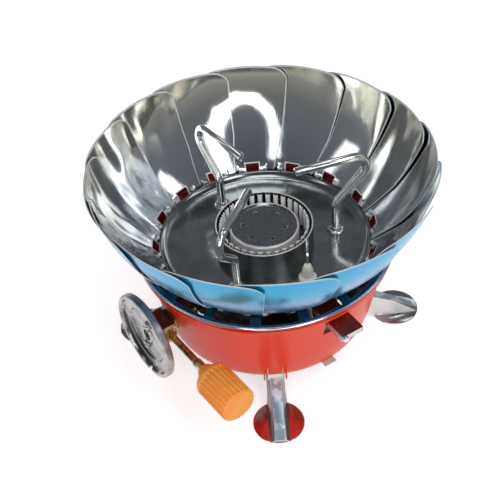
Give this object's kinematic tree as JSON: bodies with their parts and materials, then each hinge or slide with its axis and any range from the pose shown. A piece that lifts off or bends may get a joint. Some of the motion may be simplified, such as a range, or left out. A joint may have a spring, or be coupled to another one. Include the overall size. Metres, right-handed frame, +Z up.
{
  "type": "folding camping gas stove",
  "caption": "Folding camping gas stove with a petal windshield, swivelling pot supports, folding legs, side valve with cartridge adaptor and a lever igniter.",
  "frame": {"origin": "centre of the underside of the floor plate, on the burner's vertical axis", "axes": "+Z up along the burner axis; +X to the right and +Y away from a viewer who has the front leg and the knob towards them"},
  "size_m": [0.1972, 0.2072, 0.1292],
  "materials": {
    "enamel": "glossy red enamel",
    "stamped_steel": "polished stamped steel",
    "windshield": "mirror polished inside, pale blue film outside",
    "wire": "bright plated wire",
    "zinc": "dull plated steel",
    "brass": "turned",
    "cast": "cast and turned",
    "knob_plastic": "moulded orange",
    "ceramic": "white ceramic and pale housing",
    "rubber": "seal and lead",
    "black_plastic": "moulded black"
  },
  "bodies": {
    "body": {"body_shell": "enamel", "floor_plate": "zinc", "burner_plate": "stamped_steel", "burner_cup": "stamped_steel", "flame_strip": "stamped_steel", "burner_cap": "stamped_steel", "mixing_tube": "zinc", "jet": "brass", "valve_block": "brass", "packing_nut": "brass", "spigot": "brass", "adaptor_disc": "cast", "adaptor_screw_1": "zinc", "adaptor_screw_2": "zinc", "cartridge_seal": "rubber", "leg_pin_front": "zinc", "leg_pin_right": "zinc", "leg_pin_left": "zinc", "support_eyelet_a": "wire", "support_eyelet_b": "wire", "support_eyelet_c": "wire", "igniter_bracket": "stamped_steel", "lever_pin": "zinc", "piezo_body": "ceramic", "electrode_insulator": "ceramic", "electrode_wire": "wire", "ignition_lead": "rubber"},
    "leg_front": {"leg_front": "stamped_steel"},
    "leg_right": {"leg_right": "stamped_steel"},
    "leg_left": {"leg_left": "stamped_steel"},
    "petal_01": {"petal_01": "windshield"},
    "petal_02": {"petal_02": "windshield"},
    "petal_03": {"petal_03": "windshield"},
    "petal_04": {"petal_04": "windshield"},
    "petal_05": {"petal_05": "windshield"},
    "petal_06": {"petal_06": "windshield"},
    "petal_07": {"petal_07": "windshield"},
    "petal_08": {"petal_08": "windshield"},
    "petal_09": {"petal_09": "windshield"},
    "petal_10": {"petal_10": "windshield"},
    "petal_11": {"petal_11": "windshield"},
    "petal_12": {"petal_12": "windshield"},
    "petal_13": {"petal_13": "windshield"},
    "petal_14": {"petal_14": "windshield"},
    "petal_15": {"petal_15": "windshield"},
    "petal_16": {"petal_16": "windshield"},
    "support_a": {"support_a": "wire", "support_retainer_a": "zinc"},
    "support_b": {"support_b": "wire", "support_retainer_b": "zinc"},
    "support_c": {"support_c": "wire", "support_retainer_c": "zinc"},
    "knob": {"valve_stem": "brass", "knob": "knob_plastic"},
    "lever": {"igniter_lever": "stamped_steel", "lever_rivet": "stamped_steel"},
    "plunger": {"piezo_plunger": "black_plastic"}
  },
  "joints": [
    {"name": "leg_front_fold", "type": "hinge", "parent": "body", "child": "leg_front", "pos_m": [0.00049, -0.0565, -0.0155], "axis": [1, 0.0087, 0], "range_deg": [0, 150]},
    {"name": "leg_right_fold", "type": "hinge", "parent": "body", "child": "leg_right", "pos_m": [0.0564, 0.00345, -0.0155], "axis": [-0.061, 0.9981, 0], "range_deg": [0, 150]},
    {"name": "leg_left_fold", "type": "hinge", "parent": "body", "child": "leg_left", "pos_m": [-0.05645, 0.00246, -0.0155], "axis": [-0.0436, -0.999, 0], "range_deg": [0, 150]},
    {"name": "petal_01_close", "type": "hinge", "parent": "body", "child": "petal_01", "pos_m": [-0.05869, 0.01998, 0.0382], "axis": [0.3223, 0.9466, 0], "range_deg": [0, 14]},
    {"name": "petal_02_close", "type": "hinge", "parent": "body", "child": "petal_02", "pos_m": [-0.04658, 0.04092, 0.0382], "axis": [0.66, 0.7513, 0], "range_deg": [0, 14]},
    {"name": "petal_03_close", "type": "hinge", "parent": "body", "child": "petal_03", "pos_m": [-0.02737, 0.05563, 0.0382], "axis": [0.8973, 0.4415, 0], "range_deg": [0, 14]},
    {"name": "petal_04_close", "type": "hinge", "parent": "body", "child": "petal_04", "pos_m": [-0.004, 0.06187, 0.0382], "axis": [0.9979, 0.0645, 0], "range_deg": [0, 14]},
    {"name": "petal_05_close", "type": "hinge", "parent": "body", "child": "petal_05", "pos_m": [0.01998, 0.05869, 0.0382], "axis": [0.9466, -0.3223, 0], "range_deg": [0, 14]},
    {"name": "petal_06_close", "type": "hinge", "parent": "body", "child": "petal_06", "pos_m": [0.04092, 0.04658, 0.0382], "axis": [0.7513, -0.66, 0], "range_deg": [0, 14]},
    {"name": "petal_07_close", "type": "hinge", "parent": "body", "child": "petal_07", "pos_m": [0.05563, 0.02737, 0.0382], "axis": [0.4415, -0.8973, 0], "range_deg": [0, 14]},
    {"name": "petal_08_close", "type": "hinge", "parent": "body", "child": "petal_08", "pos_m": [0.06187, 0.004, 0.0382], "axis": [0.0645, -0.9979, 0], "range_deg": [0, 14]},
    {"name": "petal_09_close", "type": "hinge", "parent": "body", "child": "petal_09", "pos_m": [0.05869, -0.01998, 0.0382], "axis": [-0.3223, -0.9466, 0], "range_deg": [0, 14]},
    {"name": "petal_10_close", "type": "hinge", "parent": "body", "child": "petal_10", "pos_m": [0.04658, -0.04092, 0.0382], "axis": [-0.66, -0.7513, 0], "range_deg": [0, 14]},
    {"name": "petal_11_close", "type": "hinge", "parent": "body", "child": "petal_11", "pos_m": [0.02737, -0.05563, 0.0382], "axis": [-0.8973, -0.4415, 0], "range_deg": [0, 14]},
    {"name": "petal_12_close", "type": "hinge", "parent": "body", "child": "petal_12", "pos_m": [0.004, -0.06187, 0.0382], "axis": [-0.9979, -0.0645, 0], "range_deg": [0, 14]},
    {"name": "petal_13_close", "type": "hinge", "parent": "body", "child": "petal_13", "pos_m": [-0.01998, -0.05869, 0.0382], "axis": [-0.9466, 0.3223, 0], "range_deg": [0, 14]},
    {"name": "petal_14_close", "type": "hinge", "parent": "body", "child": "petal_14", "pos_m": [-0.04092, -0.04658, 0.0382], "axis": [-0.7513, 0.66, 0], "range_deg": [0, 14]},
    {"name": "petal_15_close", "type": "hinge", "parent": "body", "child": "petal_15", "pos_m": [-0.05563, -0.02737, 0.0382], "axis": [-0.4415, 0.8973, 0], "range_deg": [0, 14]},
    {"name": "petal_16_close", "type": "hinge", "parent": "body", "child": "petal_16", "pos_m": [-0.06187, -0.004, 0.0382], "axis": [-0.0645, 0.9979, 0], "range_deg": [0, 14]},
    {"name": "support_a_swivel", "type": "hinge", "parent": "body", "child": "support_a", "pos_m": [-0.02456, 0.03444, 0.036], "axis": [0, 0, 1], "range_deg": [0, 90]},
    {"name": "support_b_swivel", "type": "hinge", "parent": "body", "child": "support_b", "pos_m": [0.04207, 0.00442, 0.036], "axis": [0, 0, 1], "range_deg": [0, 90]},
    {"name": "support_c_swivel", "type": "hinge", "parent": "body", "child": "support_c", "pos_m": [-0.01788, -0.03834, 0.036], "axis": [0, 0, 1], "range_deg": [0, 90]},
    {"name": "knob_turn", "type": "hinge", "parent": "body", "child": "knob", "pos_m": [-0.06185, -0.04172, 0.0104], "axis": [0.5592, -0.829, 0], "range_deg": [0, 540]},
    {"name": "lever_press", "type": "hinge", "parent": "body", "child": "lever", "pos_m": [0.02741, -0.04653, 0.0284], "axis": [0.8616, 0.5075, 0], "range_deg": [0, 10], "stiffness_Nm_per_rad": 1.5, "springref_deg": -2.86},
    {"name": "plunger_slide", "type": "slide", "parent": "body", "child": "plunger", "axis": [0, 0, -1], "range_m": [0, 0.0016]}
  ],
  "couplings": [
    {"joint": "petal_02_close", "follows": "petal_01_close", "ratio": 1},
    {"joint": "petal_03_close", "follows": "petal_01_close", "ratio": 1},
    {"joint": "petal_04_close", "follows": "petal_01_close", "ratio": 1},
    {"joint": "petal_05_close", "follows": "petal_01_close", "ratio": 1},
    {"joint": "petal_06_close", "follows": "petal_01_close", "ratio": 1},
    {"joint": "petal_07_close", "follows": "petal_01_close", "ratio": 1},
    {"joint": "petal_08_close", "follows": "petal_01_close", "ratio": 1},
    {"joint": "petal_09_close", "follows": "petal_01_close", "ratio": 1},
    {"joint": "petal_10_close", "follows": "petal_01_close", "ratio": 1},
    {"joint": "petal_11_close", "follows": "petal_01_close", "ratio": 1},
    {"joint": "petal_12_close", "follows": "petal_01_close", "ratio": 1},
    {"joint": "petal_13_close", "follows": "petal_01_close", "ratio": 1},
    {"joint": "petal_14_close", "follows": "petal_01_close", "ratio": 1},
    {"joint": "petal_15_close", "follows": "petal_01_close", "ratio": 1},
    {"joint": "petal_16_close", "follows": "petal_01_close", "ratio": 1},
    {"joint": "plunger_slide", "follows": "lever_press", "m_per_rad": 0.009}
  ]
}
